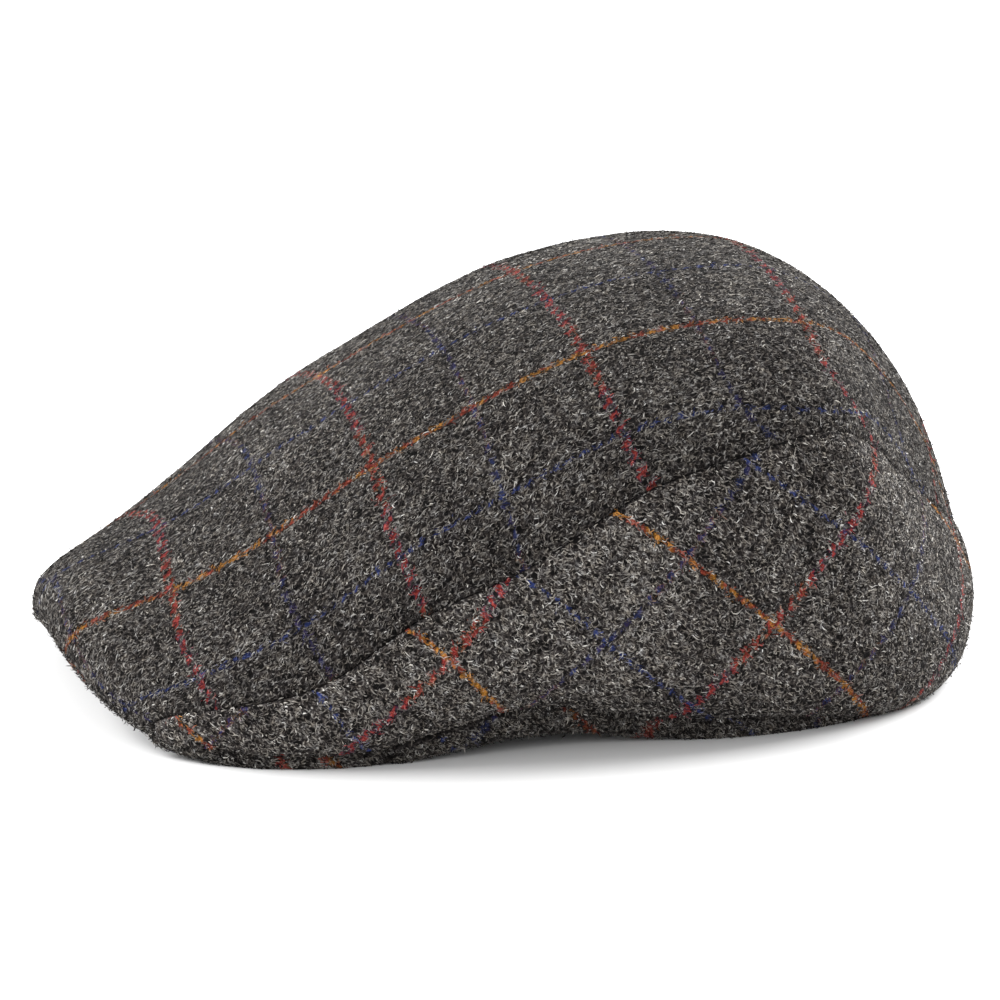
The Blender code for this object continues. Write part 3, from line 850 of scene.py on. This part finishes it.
def check_lines(tree, u, v, blot, drift):
    """Colour and strength of the check's coloured yarns at a place in the cloth.

    A line lies at each whole number of u and of v. The weave shows it as slanting dashes, one
    for each few turns of the twill; their ends and edges are ragged by the noise blot, and the
    odd lines' yarn changes its dye along its length with the slower noise drift, both 0 to 1.
    """
    ragged = add_node(tree, "Math.SUBTRACT", blot, 0.5)
    strayed = add_node(tree, "Math.MULTIPLY_ADD", drift, *STRAY_GAIN, use_clamp=True)
    found = []
    for across, along, yarn in ((u, v, LENGTHWISE), (v, u, CROSS)):
        shifted = add_node(tree, "Math.MULTIPLY_ADD", ragged, LINE_WAVER, across)
        nearest = add_node(tree, "Math.ROUND", shifted)
        parity = add_node(tree, "Math.ABSOLUTE", add_node(tree, "Math.MODULO", nearest, 2.0))
        width, keep = (add_node(tree, "Math.MULTIPLY_ADD", parity, odd - even, even)
                       for even, odd in (yarn["width"], yarn["keep"]))
        beside = add_node(tree, "Math.SUBTRACT", shifted, nearest)
        beside = add_node(tree, "Math.MULTIPLY", beside, CHECK)
        turns = add_node(tree, "Math.MULTIPLY", beside, 1 / yarn["dash"])
        turns = add_node(tree, "Math.MULTIPLY_ADD", along, CHECK / yarn["dash"], turns)
        turns = add_node(tree, "Math.MULTIPLY_ADD", ragged, DASH_WAVER, turns)
        filled = add_node(tree, "Math.MULTIPLY_ADD", keep, *FILL_GAIN)
        dashes = add_node(tree, "Math.PINGPONG", turns, 0.5)
        dashes = add_node(tree, "Math.MULTIPLY_ADD", dashes, DASH_EDGE, filled, use_clamp=True)
        width = add_node(tree, "Math.MULTIPLY_ADD", ragged, WIDTH_WAVER, width)
        inside = add_node(tree, "Math.SUBTRACT", width, add_node(tree, "Math.ABSOLUTE", beside))
        here = add_node(tree, "Math.MULTIPLY", inside, LINE_EDGE, use_clamp=True)
        here = add_node(tree, "Math.MULTIPLY", here, dashes)
        odd = add_node(tree, "Mix", strayed, in_6=srgb(yarn["odd"]), in_7=srgb(yarn["stray"]), **COLOURS)
        found.append((add_node(tree, "Mix", parity, in_6=srgb(yarn["even"]), in_7=odd, **COLOURS), here))
    (first, one), (second, two) = found
    return (add_node(tree, "Mix", two, in_6=first, in_7=second, **COLOURS),
            add_node(tree, "Math.MAXIMUM", one, two))


def wool_greys(tree, tone):
    """The undyed wool's colour by its tone, 0 to 1."""
    grey = add_node(tree, "ValToRGB", tone)
    stops = grey.node.color_ramp.elements
    for spot, _ in WOOL_GREYS[1:-1]:
        stops.new(spot)
    for stop, (spot, code) in zip(stops, WOOL_GREYS):
        stop.position, stop.color = spot, srgb(code)
    return grey


def tweed(name, fibre=False, painted_light=(1.0, 1.0)):
    """Heathered charcoal wool: curled light threads over dark, twill ribs, mottling and the check.

    With fibre it is the finish of the loose fibres, which have their own tone. The last argument
    is painted light: how much lighter the cloth is painted in front and behind, for a panel
    that the lamps light less. Without fibre, painted shade also darkens the cloth beside its seams.
    """
    material, shader = matt(name, Roughness=0.95, Specular_IOR_Level=0.05, Sheen_Weight=0.04,
                            Sheen_Roughness=0.4)
    tree = material.node_tree
    u = add_node(tree, "SeparateXYZ", add_node(tree, "UVMap", uv_map="cloth"))
    v = u.node.outputs["Y"]
    space = add_node(tree, "TexCoord", out="Object")
    blot, drift, patches, clouds, fade, warmth = (
        add_node(tree, "TexNoise", space, in_Scale=scale, in_Detail=detail, in_Roughness=rough)
        for scale, detail, rough in NOISES.values())
    colour, strength = check_lines(tree, u, v, blot, drift)
    mottle = add_node(tree, "Math.ADD", add_node(tree, "Math.MULTIPLY_ADD", patches, *PATCH_GAIN),
                      add_node(tree, "Math.MULTIPLY_ADD", clouds, *CLOUD_GAIN))
    if fibre:
        tone = add_node(tree, "Attribute", attribute_name="tone", out="Fac")
        dyed = add_node(tree, "Math.LESS_THAN", tone, WHITE_TONE)
        dyed = add_node(tree, "Math.MULTIPLY_ADD", dyed, *DYED_GAIN)
        strength = add_node(tree, "Math.MULTIPLY", strength, dyed)
        tone = add_node(tree, "Math.MULTIPLY_ADD", mottle, MOTTLE["fibre"], tone, use_clamp=True)
    else:
        ribs = [way * CHECK / TWILL for way in RIB_WAY]
        rib = add_node(tree, "Math.MULTIPLY_ADD", u, ribs[0], add_node(tree, "Math.MULTIPLY", v, ribs[1]))
        rib = add_node(tree, "Math.MULTIPLY_ADD", blot, RIB_WAVER, rib)
        rib = add_node(tree, "Math.PINGPONG", rib, 0.5)
        light = 0.0
        for thread, gain in zip(THREADS, THREAD_GAINS):
            share = add_node(tree, "Math.MULTIPLY_ADD", fade, *gain, use_clamp=True)
            shown = add_node(tree, "Math.MULTIPLY", worms(tree, space, *thread), share)
            light = add_node(tree, "Math.MAXIMUM", light, shown)
        tone = add_node(tree, "Math.MULTIPLY", light, add_node(tree, "Math.MULTIPLY_ADD", rib, *RIB_GAIN))
        tone = add_node(tree, "Math.MULTIPLY_ADD", mottle, MOTTLE["cloth"], tone, use_clamp=True)
        # Painted shade beside the seams, read from the shell's point attribute
        painted_seam_shade = add_node(tree, "Attribute", attribute_name="painted_seam_shade", out="Fac")
        painted_seam_shade = add_node(tree, "Math.MULTIPLY_ADD", painted_seam_shade, PAINTED_SHADE_DARK, 1.0)
        tone = add_node(tree, "Math.MULTIPLY", tone, painted_seam_shade)
        relief = add_node(tree, "Math.MULTIPLY_ADD", rib, RIB_RELIEF, light)
        bump = add_node(tree, "Bump", in_Strength=BUMP_SHARE, in_Distance=BUMP_DEPTH, in_Height=relief)
        tree.links.new(bump, shader.inputs["Normal"])
    yarn = multiply_grey(tree, colour, add_node(tree, "Math.MULTIPLY_ADD", tone, *YARN_GAIN))
    tint = add_node(tree, "Mix", warmth, in_6=WARM, in_7=COOL, **COLOURS)
    wool = add_node(tree, "Mix", 1.0, in_6=wool_greys(tree, tone), in_7=tint, blend_type="MULTIPLY",
                    **COLOURS)
    strength = add_node(tree, "Math.MULTIPLY", strength, YARN_SHOWN)
    full = add_node(tree, "Mix", strength, in_6=wool, in_7=yarn, **COLOURS)
    # The dye's darkness times painted light that changes along Y
    y = add_node(tree, "SeparateXYZ", space, out="Y")
    dye_and_painted_light = add_node(tree, "MapRange", y, *PAINTED_LIGHT_TURN, DYE * painted_light[0], DYE * painted_light[1])
    tree.links.new(multiply_grey(tree, full, dye_and_painted_light), shader.inputs["Base Color"])
    return material


# The cap
CLOTH_MAT = tweed("wool_tweed")
FIBRE_MAT = tweed("wool_fibres", fibre=True)
# Painted light: lighter copies of the cloth and fibres for the left side panel, which the lamps light
# less
CLOTH_PAINTED_LIGHTER = tweed("wool_tweed_side_painted_light", painted_light=SIDE_PAINTED_LIGHT)
FIBRE_PAINTED_LIGHTER = tweed("wool_fibres_side_painted_light", fibre=True, painted_light=SIDE_PAINTED_LIGHT)

top, top_uv = top_cloth()
side, side_uv = side_cloth()
peak, peak_uv = peak_cloth()
band, band_uv = band_cloth()

top, top_uv = add_hem(ripple(top), top_uv, np.full(top.shape[0], HEM_DROP))
side, side_uv = ripple(side, -1.0)[:, ::-1], side_uv[:, ::-1]
tip = ease(np.clip((HEM_END[1] - side[:, 0, 1]) / (HEM_END[1] - HEM_END[0]), 0, 1))
side, side_uv = add_hem(side, side_uv, HEM_DROP * tip + HEM_LEAST)
walls = [np.full(face.shape[:2], CLOTH) for face in (top, side)]
for wall in walls:
    wall[:, :len(HEM_ROWS)] *= HEM_WALL
ALL_EDGES = ((0, 0), (0, 1), (1, 0), (1, 1))
top_face, side_face = (roll_edges(face, ALL_EDGES) for face in (top, side))
band_face = roll_edges(band, ((1, 1),))

TOP_SEAMS, SIDE_SEAMS, BAND_SEAMS = ((0, 0), (0, 1), (1, 1)), ((0, 1), (1, 1)), ((1, 0),)
add_cloth("top_cloth", "top_panel", top_face, top_uv, walls[0], CLOTH_MAT,
          under=top, seams=TOP_SEAMS)
for number in range(3):
    add_fibres("fibres_top_%d" % (number + 1), "top_panel", top_face, top_uv,
               FIBRE_COUNT["top"] // 3, FIBRE_MAT, 1.0, SEED + number, TOP_SEAMS)
for name, turn, facing, seed, cloth, fibres in (("left", np.ones(3), 1.0, 3, CLOTH_PAINTED_LIGHTER, FIBRE_PAINTED_LIGHTER),
                                                ("right", MIRROR, -1.0, 4, CLOTH_MAT, FIBRE_MAT)):
    node = "side_panel_" + name
    add_cloth("side_cloth_" + name, node, side_face * turn, side_uv, walls[1], cloth,
              facing, under=side * turn, seams=SIDE_SEAMS)
    add_fibres("fibres_side_" + name, node, side_face * turn, side_uv, FIBRE_COUNT["side"],
               fibres, facing, SEED + seed, SIDE_SEAMS)
add_cloth("peak_cloth", "peak", peak, peak_uv, PEAK_THICK, CLOTH_MAT, rounded=PEAK_ROUND)
rim, rim_uv = rim_sheet(peak, peak_uv, PEAK_THICK)
add_fibres("fibres_peak", "peak", rim, rim_uv, FIBRE_COUNT["peak"], FIBRE_MAT, -1.0, SEED + 6)
add_cloth("band_cloth", "band", band_face, band_uv, BAND_THICK, CLOTH_MAT,
          under=band, seams=BAND_SEAMS)
add_fibres("fibres_band", "band", band_face, band_uv, FIBRE_COUNT["band"], FIBRE_MAT, 1.0,
           SEED + 5, BAND_SEAMS)


# Stage
FLOOR_HALF = 1.35  # beyond this the floor isn't as white as the world
LIGHT_SIZE = 1.0
LIGHT_AIM = Vector((0, 0, 0.05))
AZIMUTH, ELEVATION, DISTANCE = math.radians(74), math.radians(15), 1.554
FRAME_WIDTH = 0.2884  # metres seen across at the aim point
AIM_HEIGHT = 0.0483
SENSOR = 36.0


def add_light(name, spot, watts):
    """A square soft light at spot that faces the cap."""
    lamp = bpy.data.lights.new(name, "AREA")
    lamp.size, lamp.energy = LIGHT_SIZE, watts
    light = bpy.data.objects.new(name, lamp)
    light.location = spot
    light.rotation_euler = (LIGHT_AIM - Vector(spot)).to_track_quat("-Z", "Y").to_euler()
    bpy.context.scene.collection.objects.link(light)


floor_verts = np.array([[-1, -1, 0], [1, -1, 0], [1, 1, 0], [-1, 1, 0]]) * FLOOR_HALF
floor = make_mesh("floor", floor_verts, np.array([[0, 1, 2, 3]]), np.zeros((4, 2)), False)
WHITE = matt("white_floor", Base_Color=srgb("#dcdcdc"), Roughness=0.9, Specular_IOR_Level=0.0)[0]
floor.data.materials.append(WHITE)

world = bpy.data.worlds.new("studio")
bpy.context.scene.world = world
world.use_nodes = True
sky = world.node_tree.nodes["Background"].inputs
sky["Color"].default_value, sky["Strength"].default_value = (1, 1, 1, 1), 1.0
add_light("light_right", (-0.45, 1.22, 0.85), 60)
add_light("light_left", (-0.45, -1.22, 0.85), 43)

aim = Vector((0.0, SHIFT[1], AIM_HEIGHT))
level = math.cos(ELEVATION)
back = Vector((math.sin(AZIMUTH) * level, -math.cos(AZIMUTH) * level, math.sin(ELEVATION)))
lens = bpy.data.cameras.new("camera")
lens.sensor_width = SENSOR
lens.lens = SENSOR * DISTANCE / FRAME_WIDTH
lens.clip_end = 50.0
camera = bpy.data.objects.new("camera", lens)
camera.location = aim + back * DISTANCE
camera.rotation_euler = back.to_track_quat("Z", "Y").to_euler()
bpy.context.scene.collection.objects.link(camera)
bpy.context.scene.camera = camera
bpy.context.scene.view_settings.view_transform = "Standard"
